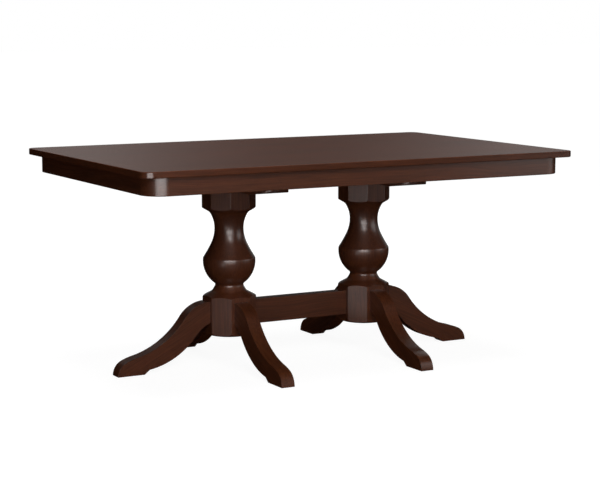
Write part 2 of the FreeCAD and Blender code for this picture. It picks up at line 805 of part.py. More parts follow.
pieces = [make_top()]
pieces += make_apron()
pieces.append(make_tenons())
pieces.append(make_clips())
for row_name, row_y in RUNNER_ROWS.items():
    pieces.append(make_runner(f"top_runner_{row_name}", row_y))
for side, pedestal_x in PEDESTALS.items():
    pieces.append(make_plate(f"mounting_plate_{side}", pedestal_x))
    pieces.append(make_column(f"column_{side}", pedestal_x))
    for name, direction in LEG_DIRECTIONS[side].items():
        pieces.append(make_leg(f"leg_{side}_{name}", pedestal_x, direction))
pieces.append(make_stretcher())
pieces.append(make_column_screws())
pieces += make_base_fasteners()

doc.recompute()
for item in doc.Objects:
    if "Invalid" in item.State or "Error" in item.State:
        raise RuntimeError(f"{item.Label} failed: {item.State}")
for piece in pieces:
    if piece.Shape.isNull() or not piece.Shape.isValid():
        raise RuntimeError(f"{piece.Label} has no valid shape")
for piece in pieces:
    piece.Shape.exportStep(f"parts/{piece.Label}.step")
    print(piece.Label, len(piece.Shape.Solids), round(piece.Shape.Volume))
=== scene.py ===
import math

import bmesh
import bpy
from mathutils import Matrix, Vector


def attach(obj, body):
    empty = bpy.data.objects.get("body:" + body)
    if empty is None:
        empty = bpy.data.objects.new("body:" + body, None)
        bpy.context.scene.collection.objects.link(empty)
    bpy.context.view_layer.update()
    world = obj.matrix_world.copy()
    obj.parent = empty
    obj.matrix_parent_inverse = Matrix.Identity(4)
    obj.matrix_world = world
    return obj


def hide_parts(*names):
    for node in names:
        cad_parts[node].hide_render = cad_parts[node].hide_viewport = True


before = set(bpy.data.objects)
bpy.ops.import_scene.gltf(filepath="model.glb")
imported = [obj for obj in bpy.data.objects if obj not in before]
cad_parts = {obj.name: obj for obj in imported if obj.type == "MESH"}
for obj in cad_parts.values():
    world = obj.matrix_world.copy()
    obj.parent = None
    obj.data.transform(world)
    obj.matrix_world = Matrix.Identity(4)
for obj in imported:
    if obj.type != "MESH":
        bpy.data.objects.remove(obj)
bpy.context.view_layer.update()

MM = 0.001

# Sizes in millimetres, as in the solids; only the turned profile of the columns is measured more closely here
TABLE_HEIGHT = 762.0
TOP_HALF_LENGTH = 838.2
TOP_HALF_WIDTH = 533.4
TOP_THICKNESS = 22.2
TOP_CORNER = 35.0
TOP_ROUND = 3.0
TOP_UNDERSIDE = TABLE_HEIGHT - TOP_THICKNESS
APRON_INSET = 27.8
APRON_HEIGHT = 61.0
APRON_THICKNESS = 22.2
APRON_CORNER = 71.0
APRON_EASE = 2.0
GROOVE_LOW = 46.8
GROOVE_HIGH = 50.0
GROOVE_DEPTH = 9.5
APRON_BOTTOM = TOP_UNDERSIDE - APRON_HEIGHT
APRON_HALF_LENGTH = TOP_HALF_LENGTH - APRON_INSET
APRON_HALF_WIDTH = TOP_HALF_WIDTH - APRON_INSET
APRON_CENTRE_X = APRON_HALF_LENGTH - APRON_CORNER
APRON_CENTRE_Y = APRON_HALF_WIDTH - APRON_CORNER
RUNNER_HALF_LENGTH = 660.0
RUNNER_WIDTH = 44.0
RUNNER_HEIGHT = 69.85
RUNNER_Y = 200.0
RUNNER_END_CUT = 25.0
RUNNER_EASE = 1.5
PLATE_LENGTH = 609.6
PLATE_WIDTH = 152.4
PLATE_THICKNESS = 25.4
PLATE_EASE = 2.5
PLATE_TOP = TOP_UNDERSIDE - RUNNER_HEIGHT
PLATE_BOTTOM = PLATE_TOP - PLATE_THICKNESS
PEDESTAL_X = 279.2
COLUMN_FLAT = 88.9
COLUMN_FOOT = 113.0
DRUM_MARGIN = 4.0
DRUM_SIDE = 20.0
BLOCK_EASE = 1.4
RIM_RADIUS = 80.0
RIM_RISE = 18.0
RIM_BULGE = 3.5
LOWER_SHOULDER = 250.3
COLLAR = (63.0, 268.3)
WAIST = (48.3, 293.7)
GLOBE_CENTRE = (-5.1, 376.8)
RIDGE = (93.0, 388.7)
NECK = (51.9, 494.0)
COVE_BEND = (65.1, 544.9)
COVE = (76.7, 556.7)
UPPER_SHOULDER = 567.9
FLARE_LEAN = math.radians(-33.4)
COLLAR_HOLLOW = -1.0
WAIST_ROUND = 8.0
RIDGE_ROUND = 2.2
LOWER_SHOULDER_ROUND = 3.0
UPPER_SHOULDER_ROUND = 2.0
NEAR = 1e-4
RECESS_HALF = 45.0
RECESS_CORNER = 16.0
RECESS_TOP = 237.7
LEG_THICKNESS = 49.5
LEG_REACH = 354.2
LEG_ROOT_TOP = 237.3
LEG_ROOT_BOTTOM = 161.2
LEG_SHOULDER_RADIUS = 119.0
LEG_INSTEP_RADIUS = 310.0
LEG_FOOT_RADIUS = 207.5
LEG_TOE_RADIUS = 53.6
LEG_TOE_LEAN = math.radians(24.3)
LEG_SOLE = 100.0
LEG_HEEL = (-19.3, 15.4)
LEG_ARCH_RADIUS = 281.0
LEG_HAUNCH_RADIUS = 137.0
LEG_HAUNCH_LEAN = math.radians(23.0)
LEG_EASE = 2.8
LEG_WELD = 0.05
LEG_GRAIN_LEAN = math.radians(30.0)
STRETCHER_TOP = 232.0
STRETCHER_DEPTH = 88.9
STRETCHER_THICKNESS = 44.5
STRETCHER_EASE = 2.5
BOLT_DIAMETER = 9.5
BOLT_LENGTH = 107.2
BOLT_SPARE = 3.0
BOLT_LEVELS = (183.27, 215.23)
NUT_THREAD_END = 30.0
BOLT_THREAD_START = 50.0
SCREW_POINT = 7.0
WASHER_DIAMETER = 25.0
WASHER_THICKNESS = 2.0
NUT_CORNERS = 16.5
NUT_HEIGHT = 8.3
LAG_DIAMETER = 8.0
LAG_LENGTH = 85.4
LAG_SHANK = 24.0
LAG_OFFSET = 48.0
LAG_HEAD_CORNERS = 15.0
LAG_HEAD_HEIGHT = 5.3
CLIP_THICKNESS = 2.0
CLIP_WIDTH = 20.0
CLIP_DROP = 11.0
CLIP_TONGUE = 8.0
CLIP_BEND = 1.0
CLIP_FLAT = 4.5
CLIP_END = 27.5
CLIP_CORNER = 4.0
CLIP_HOLE = 5.0
CLIP_HOLE_AT = 15.5
CLIP_END_DISTANCE = 215.0
CLIP_SCREW = (4.6, 1.9, 15.0)
PLATE_SCREW = (5.6, 2.6, 55.0)
RUNNER_SCREW = (5.6, 2.6, 82.0)
PLATE_SCREW_OFFSET = 42.0
RUNNER_SCREWS = (90.0, 440.0, 600.0)
SURFACE_GAP = 1.0
ROUND_STEPS = 160
SHARP_TURN = math.radians(32.0)
HALF_SIDE = math.pi / 8
OCTAGON_CORNER = COLUMN_FLAT / math.cos(HALF_SIDE)

# Colours of the stained wood and scales of its figure along and across the grain
DARK_STAIN = (0.074, 0.0196, 0.0063)
LIGHT_STAIN = (0.124, 0.0345, 0.0112)
RED_STAIN = (0.118, 0.0300, 0.0092)
STAINED_STREAK = (0.046, 0.0114, 0.0037)
STAINED_PORE = (0.030, 0.0075, 0.0027)
WANDER_SCALE = (0.9, 3.0, 3.0)
GROWTH_SCALE = (1.0, 26.0, 18.0)
STREAK_SCALE = (6.0, 260.0, 260.0)
PORE_SCALE = (70.0, 1500.0, 1500.0)
PATCH_SCALE = (2.2, 7.0, 7.0)
SCUFF_SCALE = (300.0, 2400.0, 2400.0)

# Studio, in metres
FLOOR_HALF = 40.0
FLOOR_COLOUR = (0.2, 0.2, 0.2)
FLOOR_NEAR, FLOOR_FAR = 1.0, 2.6
FLOOR_NEAR_LEVEL = 0.93
AMBIENT = (0.05, 0.05, 0.05)
CAMERA_RIGHT = (0.8746, -0.4848, 0)
SURROUND_MIDDLE, SURROUND_RISE, SURROUND_MOST = 0.087, 15.4, 0.318
CAMERA_LENS = 102.4
CAMERA_SENSOR = 36.0
CAMERA_PLACE = (-2.96062, -5.40013, 1.27333)
CAMERA_PITCH = -0.14178
CAMERA_TURN = -0.50282


# Curves, drawn with x outwards and y upwards

def spot(x, y):
    return Vector((x, y))


def leaning(angle):
    return spot(math.sin(angle), math.cos(angle))


def lean_of(direction):
    return math.atan2(direction.x, direction.y)


def sweep(centre, radius, start, end, steps):
    """Points of an arc between two leans; with a negative radius it lies on the near side of its centre."""
    return [centre + leaning(start + (end - start) * k / steps) * radius for k in range(steps + 1)]


def tangent_arc(start, direction, end, steps):
    """Points of the arc that leaves start in the given direction and reaches end."""
    chord = end - start
    half_turn = math.atan2(direction.x * chord.y - direction.y * chord.x, direction.dot(chord))
    side = spot(-direction.y, direction.x)
    centre = start + side * (chord.length_squared / (2 * chord.dot(side)))
    arm = start - centre
    turns = [2 * half_turn * k / steps for k in range(steps + 1)]
    return [centre + Matrix.Rotation(turn, 2) @ arm for turn in turns]


def bulged(start, end, bulge, steps):
    """Points of the arc that stands off its chord on the right of the way from start to end."""
    chord = end - start
    turn = 2 * math.atan(2 * bulge / chord.length)
    return tangent_arc(start, Matrix.Rotation(-turn, 2) @ chord.normalized(), end, steps)


def biarc(start, start_direction, end, end_direction, steps):
    """Two arcs with a common tangent that leave start and reach end in the given directions."""
    way = end - start
    spread = 2 * (1 - start_direction.dot(end_direction))
    run = way.dot(start_direction + end_direction)
    reach = (math.sqrt(run ** 2 + spread * way.length_squared) - run) / spread
    first_turn = start + start_direction * reach
    second_turn = end - end_direction * reach
    joint = (first_turn + second_turn) / 2
    joint_direction = (second_turn - first_turn).normalized()
    first = tangent_arc(start, start_direction, joint, steps)
    return first + tangent_arc(joint, joint_direction, end, steps)[1:]


def common_centre(first, first_distance, second, second_distance):
    """The point at two distances from two others, on the left of the way between them."""
    way = second - first
    along = (first_distance ** 2 - second_distance ** 2 + way.length_squared) / (2 * way.length)
    aside = math.sqrt(first_distance ** 2 - along ** 2)
    ahead = way.normalized()
    return first + ahead * along + spot(-ahead.y, ahead.x) * aside


def trimmed(points, reach):
    """A line without the stretch within reach of its last point."""
    end = points[-1]
    kept = [p for p in points if (p - end).length > reach]
    following = points[len(kept)]
    far, near = (kept[-1] - end).length, (following - end).length
    return kept + [kept[-1].lerp(following, (far - reach) / (far - near))]


def joined(runs, reach, steps=4):
    """One line from several, with each meeting rounded over the given reach."""
    points = list(runs[0])
    for run in runs[1:]:
        corner = run[0]
        before = trimmed(points, reach)
        after = trimmed(run[::-1], reach)[::-1]
        bend = []
        for k in range(1, steps):
            share = k / steps
            bend.append(before[-1].lerp(corner, share).lerp(corner.lerp(after[0], share), share))
        points = before + bend + after
    return points


# Meshes

def new_piece(name, points, faces):
    """A mesh object from points in millimetres."""
    mesh = bpy.data.meshes.new(name)
    mesh.from_pydata([Vector(p) * MM for p in points], [], faces)
    mesh.validate()
    piece = bpy.data.objects.new(name, mesh)
    bpy.context.scene.collection.objects.link(piece)
    bm = bmesh.new()
    bm.from_mesh(mesh)
    bmesh.ops.recalc_face_normals(bm, faces=bm.faces)
    bm.to_mesh(mesh)
    bm.free()
    mesh.shade_smooth()
    mesh.set_sharp_from_angle(angle=SHARP_TURN)
    return piece


def ease(piece, width, wanted, segments=3):
    """Rounds the edges for which wanted(end, other end) is true, both in millimetres."""
    bm = bmesh.new()
    bm.from_mesh(piece.data)
    weights = bm.edges.layers.float.new("bevel_weight_edge")
    for edge in bm.edges:
        start, end = (vertex.co / MM for vertex in edge.verts)
        if wanted(start, end):
            edge[weights] = 1.0
            edge.smooth = True
    bm.to_mesh(piece.data)
    bm.free()
    bevel = piece.modifiers.new("eased_edges", "BEVEL")
    bevel.limit_method = "WEIGHT"
    bevel.width = width * MM
    bevel.segments = segments
    return piece


def flatten_shading(piece):
    """Lets the large faces keep their own normals beside rounded edges."""
    shading = piece.modifiers.new("face_weights", "WEIGHTED_NORMAL")
    shading.keep_sharp = True


def extruded(name, outline, low, high, lay):
    """A solid between two copies of a flat outline; lay(u, v, depth) gives each point's place."""
    count = len(outline)
    points = [lay(p[0], p[1], depth) for depth in (low, high) for p in outline]
    faces = [tuple(range(count)), tuple(range(count, 2 * count))]
    for k in range(count):
        after = (k + 1) % count
        faces.append((k, after, count + after, count + k))
    return new_piece(name, points, faces)


def skin(loops, pierced=False):
    """Points and faces over loops, one after the other: capped at both ends, or closed round a hole."""
    count, rows = len(loops[0]), len(loops)
    points = [p for loop in loops for p in loop]
    faces = [] if pierced else [tuple(range(count)), tuple(range(len(points) - count, len(points)))]
    for row in range(rows if pierced else rows - 1):
        low, high = row * count, (row + 1) % rows * count
        for k in range(count):
            after = (k + 1) % count
            faces.append((low + k, low + after, high + after, high + k))
    return points, faces


def lay_grain(piece, along, face=(0, 0, 1)):
    """Sets the piece's own X axis along the grain, and its Z axis near the given face's normal."""
    x_axis = Vector(along).normalized()
    y_axis = Vector(face).cross(x_axis).normalized()
    z_axis = x_axis.cross(y_axis)
    corners = [Vector(c) for c in piece.bound_box]
    middle = sum(corners, Vector()) / len(corners)
    turned = Matrix((x_axis, y_axis, z_axis)).transposed().to_4x4()
    place = Matrix.Translation(middle) @ turned
    piece.data.transform(place.inverted())
    piece.matrix_world = place
    return piece


def dress(piece, material, slot, *nodes):
    piece.data.materials.append(material)
    flatten_shading(piece)
    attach(piece, "root")
    if nodes:
        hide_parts(*nodes)
    return piece


# Materials

class Nodes:
    """Adds nodes to a node tree and links them, with plain values set on the sockets."""

    def __init__(self, tree):
        self.tree = tree

    def add(self, kind, inputs=None, **settings):
        node = self.tree.nodes.new(kind)
        for name, value in settings.items():
            setattr(node, name, value)
        for name, value in (inputs or {}).items():
            self.feed(node.inputs[name], value)
        return node

    def feed(self, socket, value):
        if isinstance(value, bpy.types.NodeSocket):
            self.tree.links.new(value, socket)
        else:
            socket.default_value = value

    def math(self, operation, *values):
        node = self.add("ShaderNodeMath", operation=operation)
        for socket, value in zip(node.inputs, values):
            self.feed(socket, value)
        return node.outputs[0]

    def vector(self, operation, *values):
        node = self.add("ShaderNodeVectorMath", operation=operation)
        for socket, value in zip(node.inputs, values):
            self.feed(socket, value)
        return node.outputs["Value" if operation in ("LENGTH", "DOT_PRODUCT") else "Vector"]

    def noise(self, vector, scale, detail=3.0, roughness=0.55):
        node = self.add("ShaderNodeTexNoise", {
            "Vector": vector, "Scale": scale, "Detail": detail, "Roughness": roughness,
        })
        return node.outputs["Fac"]

    def remap(self, value, low, high, to_low=0.0, to_high=1.0):
        node = self.add("ShaderNodeMapRange", {
            "Value": value, "From Min": low, "From Max": high, "To Min": to_low, "To Max": to_high,
        })
        return node.outputs["Result"]

    def mix(self, factor, first, second, blend="MIX"):
        node = self.add("ShaderNodeMix", data_type="RGBA", blend_type=blend)
        for index, value in ((0, factor), (6, first), (7, second)):
            self.feed(node.inputs[index], value)
        return node.outputs[2]


def new_material(name):
    material = bpy.data.materials.new(name)
    material.use_nodes = True
    material.node_tree.nodes.clear()
    nodes = Nodes(material.node_tree)
    shader = nodes.add("ShaderNodeBsdfPrincipled")
    output = nodes.add("ShaderNodeOutputMaterial")
    material.node_tree.links.new(shader.outputs["BSDF"], output.inputs["Surface"])
    return material, nodes, shader


def colour(red, green, blue):
    return (red, green, blue, 1.0)


def grain_place(nodes, lean=0.0):
    """The piece's own coordinates with X along the grain, shifted by a different amount for each piece."""
    place = nodes.add("ShaderNodeTexCoord").outputs["Object"]
    if lean:
        turned = nodes.add("ShaderNodeVectorRotate", {"Vector": place, "Angle": lean}, rotation_type="Z_AXIS")
        place = turned.outputs[0]
    chance = nodes.add("ShaderNodeObjectInfo").outputs["Random"]
    shift = nodes.add("ShaderNodeCombineXYZ", {
        "X": nodes.math("MULTIPLY", chance, 31.0),
        "Y": nodes.math("MULTIPLY", chance, 17.0),
        "Z": nodes.math("MULTIPLY", chance, 7.0),
    })
    return nodes.vector("ADD", place, shift.outputs[0])


def wood_figure(nodes, place):
    """Growth figure, streaks and pores of a flat-sawn board, each from 0 to 1."""
    wander = nodes.noise(nodes.vector("MULTIPLY", place, WANDER_SCALE), 1.0, 2.0)
    bend = nodes.add("ShaderNodeCombineXYZ", {"Y": nodes.math("MULTIPLY", wander, 0.16)}).outputs[0]
    bent = nodes.vector("ADD", place, bend)
    growth = nodes.noise(nodes.vector("MULTIPLY", bent, GROWTH_SCALE), 1.0, 4.0, 0.6)
    streak = nodes.noise(nodes.vector("MULTIPLY", bent, STREAK_SCALE), 1.0, 3.0, 0.6)
    pores = nodes.noise(nodes.vector("MULTIPLY", bent, PORE_SCALE), 1.0, 2.0, 0.5)
    return growth, streak, pores


def stained_wood(name, lean=0.0):
    material, nodes, shader = new_material(name)
    shifted = grain_place(nodes, lean)
    growth, streak, pores = wood_figure(nodes, shifted)
    patch = nodes.noise(nodes.vector("MULTIPLY", shifted, PATCH_SCALE), 1.0, 2.0)
    tone = nodes.mix(nodes.remap(growth, 0.32, 0.68), colour(*DARK_STAIN), colour(*LIGHT_STAIN))
    red = nodes.mix(nodes.remap(patch, 0.4, 0.7), tone, colour(*RED_STAIN))
    lined = nodes.mix(nodes.remap(streak, 0.32, 0.68, 0.0, 0.6), red, colour(*STAINED_STREAK))
    pored = nodes.mix(nodes.remap(pores, 0.62, 0.72, 0.0, 0.5), lined, colour(*STAINED_PORE))
    nodes.feed(shader.inputs["Base Color"], pored)
    nodes.feed(shader.inputs["Roughness"], nodes.remap(streak, 0.2, 0.8, 0.42, 0.56))
    shader.inputs["Specular IOR Level"].default_value = 0.12
    shader.inputs["Coat Weight"].default_value = 1.0
    shader.inputs["Coat Roughness"].default_value = 0.26
    relief = nodes.math("ADD", nodes.math("MULTIPLY", pores, -0.5), nodes.math("MULTIPLY", streak, 0.5))
    bump = nodes.add("ShaderNodeBump", {"Strength": 0.12, "Distance": 0.0004, "Height": relief})
    nodes.feed(shader.inputs["Normal"], bump.outputs[0])
    return material


def inner_wood():
    material, nodes, shader = new_material("inner_wood")
    shifted = grain_place(nodes)
    growth, streak, pores = wood_figure(nodes, shifted)
    tone = nodes.mix(nodes.remap(growth, 0.3, 0.7), colour(0.36, 0.235, 0.135), colour(0.50, 0.345, 0.215))
    lined = nodes.mix(nodes.remap(streak, 0.3, 0.7, 0.0, 0.5), tone, colour(0.33, 0.20, 0.115))
    pored = nodes.mix(nodes.remap(pores, 0.6, 0.72, 0.0, 0.6), lined, colour(0.22, 0.13, 0.075))
    nodes.feed(shader.inputs["Base Color"], pored)
    nodes.feed(shader.inputs["Roughness"], nodes.remap(streak, 0.2, 0.8, 0.55, 0.72))
    shader.inputs["Specular IOR Level"].default_value = 0.3
    bump = nodes.add("ShaderNodeBump", {"Strength": 0.25, "Distance": 0.0004, "Height": streak})
    nodes.feed(shader.inputs["Normal"], bump.outputs[0])
    return material


def zinc_steel():
    material, nodes, shader = new_material("zinc_steel")
    shifted = grain_place(nodes)
    cloud = nodes.noise(shifted, 160.0, 4.0)
    scuff = nodes.noise(nodes.vector("MULTIPLY", shifted, SCUFF_SCALE), 1.0, 2.0)
    tone = nodes.mix(nodes.remap(cloud, 0.35, 0.65), colour(0.50, 0.50, 0.49), colour(0.64, 0.64, 0.63))
    nodes.feed(shader.inputs["Base Color"], tone)
    shader.inputs["Metallic"].default_value = 1.0
    nodes.feed(shader.inputs["Roughness"], nodes.remap(scuff, 0.3, 0.7, 0.28, 0.46))
    bump = nodes.add("ShaderNodeBump", {"Strength": 0.15, "Distance": 0.0002, "Height": scuff})
    nodes.feed(shader.inputs["Normal"], bump.outputs[0])
    return material


STAINED = stained_wood("stained_wood")
STAINED_LEG = stained_wood("stained_leg_wood", LEG_GRAIN_LEAN)
INNER = inner_wood()
STEEL = zinc_steel()


# Table top

def rounded_rectangle(half_x, half_y, radius, steps):
    """Points of a rectangle with round corners, anticlockwise, as corner centre and outward direction."""
    outline = []
    for quarter, (side_x, side_y) in enumerate(((1, 1), (-1, 1), (-1, -1), (1, -1))):
        centre = spot(side_x * (half_x - radius), side_y * (half_y - radius))
        for k in range(steps + 1):
            angle = (quarter + k / steps) * math.pi / 2
            outline.append((centre, spot(math.cos(angle), math.sin(angle))))
    return outline


def make_top():
    quarter = [k * math.pi / 2 / 6 for k in range(7)]
    section = [(TOP_ROUND * (1 - math.sin(a)), TOP_UNDERSIDE + TOP_ROUND * (1 - math.cos(a))) for a in quarter]
    section += [(inset, TOP_UNDERSIDE + TABLE_HEIGHT - z) for inset, z in reversed(section)]
    outline = rounded_rectangle(TOP_HALF_LENGTH, TOP_HALF_WIDTH, TOP_CORNER, 20)
    loops = []
    for inset, z in section:
        loops.append([(*(centre + out * (TOP_CORNER - inset)), z) for centre, out in outline])
    top = new_piece("top_board", *skin(loops))
    return dress(lay_grain(top, (1, 0, 0)), STAINED, "stained_wood", "table_top")


# Apron

def make_rail(side, half_length, distance, quarter):
    turn = Matrix.Rotation(quarter * math.pi / 2, 3, "Z")
    groove_floor = APRON_THICKNESS - GROOVE_DEPTH
    outline = [
        (0, 0), (APRON_THICKNESS, 0), (APRON_THICKNESS, GROOVE_LOW), (groove_floor, GROOVE_LOW),
        (groove_floor, GROOVE_HIGH), (APRON_THICKNESS, GROOVE_HIGH),
        (APRON_THICKNESS, APRON_HEIGHT), (0, APRON_HEIGHT),
    ]

    def lay(depth_in, up, along):
        return turn @ Vector((along, -distance + depth_in, APRON_BOTTOM + up))

    rail = extruded(f"rail_{side}", outline, -half_length, half_length, lay)

    def lower_outer(start, end):
        low = max(start.z, end.z) < APRON_BOTTOM + SURFACE_GAP
        outer = max((turn.inverted() @ p).y for p in (start, end)) < -distance + SURFACE_GAP
        return low and outer

    ease(rail, APRON_EASE, lower_outer)
    along = turn @ Vector((1, 0, 0))
    face = turn @ Vector((0, -1, 0))
    return dress(lay_grain(rail, along, face), STAINED, "stained_wood", f"apron_rail_{side}")


def make_corner(name, side_x, side_y, quarter):
    centre = Vector((side_x * APRON_CENTRE_X, side_y * APRON_CENTRE_Y, APRON_BOTTOM))
    turn = Matrix.Rotation(quarter * math.pi / 2, 3, "Z")
    inner = APRON_CORNER - APRON_THICKNESS
    outline = sweep(spot(0, 0), -APRON_CORNER, 0, math.pi / 2, 24) + [spot(-inner, 0), spot(0, -inner)]

    def lay(u, v, up):
        return centre + turn @ Vector((u, v, up))

    corner = extruded(f"corner_{name}", outline, 0, APRON_HEIGHT, lay)

    def lower_outer(start, end):
        low = max(start.z, end.z) < APRON_BOTTOM + SURFACE_GAP
        return low and min((p - centre).to_2d().length for p in (start, end)) > APRON_CORNER - SURFACE_GAP

    ease(corner, APRON_EASE, lower_outer)
    along = turn @ Vector((1, -1, 0))
    face = turn @ Vector((-1, -1, 0))
    return dress(lay_grain(corner, along, face), STAINED, "stained_wood", f"apron_corner_{name}")


# Runners and plates

def make_runner(row, y):
    half, cut = RUNNER_HALF_LENGTH, RUNNER_END_CUT
    outline = [
        (-half, cut), (-half + cut, 0), (half - cut, 0), (half, cut), (half, RUNNER_HEIGHT), (-half, RUNNER_HEIGHT),
    ]

    def lay(along, up, across):
        return (along, y + across, PLATE_TOP + up)

    runner = extruded(f"runner_{row}", outline, -RUNNER_WIDTH / 2, RUNNER_WIDTH / 2, lay)
    ease(runner, RUNNER_EASE, lambda a, b: max(a.z, b.z) < TOP_UNDERSIDE - SURFACE_GAP)
    return dress(lay_grain(runner, (1, 0, 0)), INNER, "inner_wood", f"top_runner_{row}")


def make_plate(side, x):
    half_x, half_y = PLATE_WIDTH / 2, PLATE_LENGTH / 2
    outline = [(-half_x, -half_y), (half_x, -half_y), (half_x, half_y), (-half_x, half_y)]

    def lay(u, v, up):
        return (x + u, v, PLATE_BOTTOM + up)

    plate = extruded(f"plate_{side}", outline, 0, PLATE_THICKNESS, lay)
    ease(plate, PLATE_EASE, lambda a, b: max(a.z, b.z) < PLATE_BOTTOM + SURFACE_GAP)
    return dress(lay_grain(plate, (0, 1, 0)), STAINED, "stained_wood", f"mounting_plate_{side}")


# Columns

def octagon_reach(angle):
    """Distance from the axis to the octagon's side in a direction."""
    off_middle = (angle + HALF_SIDE) % (2 * HALF_SIDE) - HALF_SIDE
    return COLUMN_FLAT / math.cos(off_middle)


def square_reach(angle):
    """Distance from the axis to the recess wall in a direction."""
    off_side = abs((angle + math.pi / 4) % (math.pi / 2) - math.pi / 4)
    flat = RECESS_HALF / math.cos(off_side)
    inner = RECESS_HALF - RECESS_CORNER
    if flat * math.sin(off_side) <= inner:
        return flat
    off_corner = math.pi / 4 - off_side
    along = inner * math.sqrt(2) * math.cos(off_corner)
    aside = inner * math.sqrt(2) * math.sin(off_corner)
    return along + math.sqrt(RECESS_CORNER ** 2 - aside ** 2)


def at_radius(points, radius):
    """The point where a line that only widens or only narrows has the given radius."""
    for near, far in zip(points, points[1:]):
        if near.x != far.x and min(near.x, far.x) - NEAR <= radius <= max(near.x, far.x) + NEAR:
            return near.lerp(far, (radius - near.x) / (far.x - near.x))
    raise ValueError(radius)


def narrowing(points, start, end, steps):
    """Points along a line from one radius to another, closer together near the first."""
    shares = [(k / steps) ** 1.5 for k in range(steps + 1)]
    return [at_radius(points, start + (end - start) * share) for share in shares]


def shoulder(height, inner, round_reach, side):
    """A turned shoulder from a stretch of the drum's upright side to the inner point, rounded between them."""
    edge = spot(OCTAGON_CORNER, height)
    return joined([[spot(OCTAGON_CORNER, height + side), edge], [edge, inner]], round_reach, 8)


def turned_middle():
    """The turned part between the two shoulders, from the collar to the cove."""
    collar, waist, ridge, neck, cove = (spot(*p) for p in (COLLAR, WAIST, RIDGE, NECK, COVE))
    globe_centre, cove_bend = spot(*GLOBE_CENTRE), spot(*COVE_BEND)
    globe_radius = (ridge - globe_centre).length
    globe = sweep(globe_centre, globe_radius, lean_of(waist - globe_centre), lean_of(ridge - globe_centre), 28)
    flare = biarc(ridge, leaning(FLARE_LEAN), neck, leaning(0), 12)
    rise = tangent_arc(neck, leaning(0), cove_bend, 10)
    sweep_out = rise + tangent_arc(cove_bend, leaning(2 * lean_of(cove_bend - neck)), cove, 10)[1:]
    hollow = bulged(collar, waist, COLLAR_HOLLOW, 8)
    foot = joined([hollow, globe], WAIST_ROUND, 6)
    return joined([foot, flare], RIDGE_ROUND) + sweep_out[1:]


def column_loops():
    """Loops of the column from the recess up, with rows that follow the edges of the octagonal blocks."""
    collar, cove = spot(*COLLAR), spot(*COVE)
    rim_end = spot(OCTAGON_CORNER + DRUM_MARGIN, COLUMN_FOOT + RIM_RISE)
    rim = bulged(spot(RIM_RADIUS, COLUMN_FOOT), rim_end, RIM_BULGE, 24)
    lower = shoulder(LOWER_SHOULDER, collar, LOWER_SHOULDER_ROUND, -DRUM_SIDE)
    upper = shoulder(UPPER_SHOULDER, cove, UPPER_SHOULDER_ROUND, DRUM_SIDE)
    middle = turned_middle()
    columns = []
    for k in range(ROUND_STEPS):
        angle = 2 * math.pi * k / ROUND_STEPS
        reach = octagon_reach(angle)
        below = narrowing(rim, reach, RIM_RADIUS, 8)[::-1]
        lower_rows = narrowing(lower, reach, collar.x, 8)[:-1]
        upper_rows = narrowing(upper, reach, cove.x, 6)[-2::-1]
        recess = square_reach(angle)
        line = [spot(recess, RECESS_TOP), spot(recess, COLUMN_FOOT)]
        line += below + lower_rows + middle + upper_rows + [spot(reach, PLATE_BOTTOM)]
        columns.append([(p.x * math.cos(angle), p.x * math.sin(angle), p.y) for p in line])
    return [list(row) for row in zip(*columns)]


def make_column(side, x):
    loops = [[(px + x, py, pz) for px, py, pz in loop] for loop in column_loops()]
    column = new_piece(f"turned_column_{side}", *skin(loops))
    same_reach, same_angle = 0.02, 1e-3

    def crisp(start, end):
        """The block's upright corners, and the lines where its flats meet the turning."""
        angles = [math.atan2(p.y, p.x - x) for p in (start, end)]
        reaches = [math.hypot(p.x - x, p.y) for p in (start, end)]
        if any(abs(reach - octagon_reach(angle)) >= same_reach for reach, angle in zip(reaches, angles)):
            return False
        upright = abs(angles[0] - angles[1]) < same_angle
        if upright:
            return abs(angles[0] % (2 * HALF_SIDE) - HALF_SIDE) < same_angle
        return max(start.z, end.z) < PLATE_BOTTOM - SURFACE_GAP

    ease(column, BLOCK_EASE, crisp, segments=2)
    return dress(lay_grain(column, (0, 0, 1), (0, -1, 0)), STAINED, "stained_wood", f"column_{side}")


# Legs and stretcher

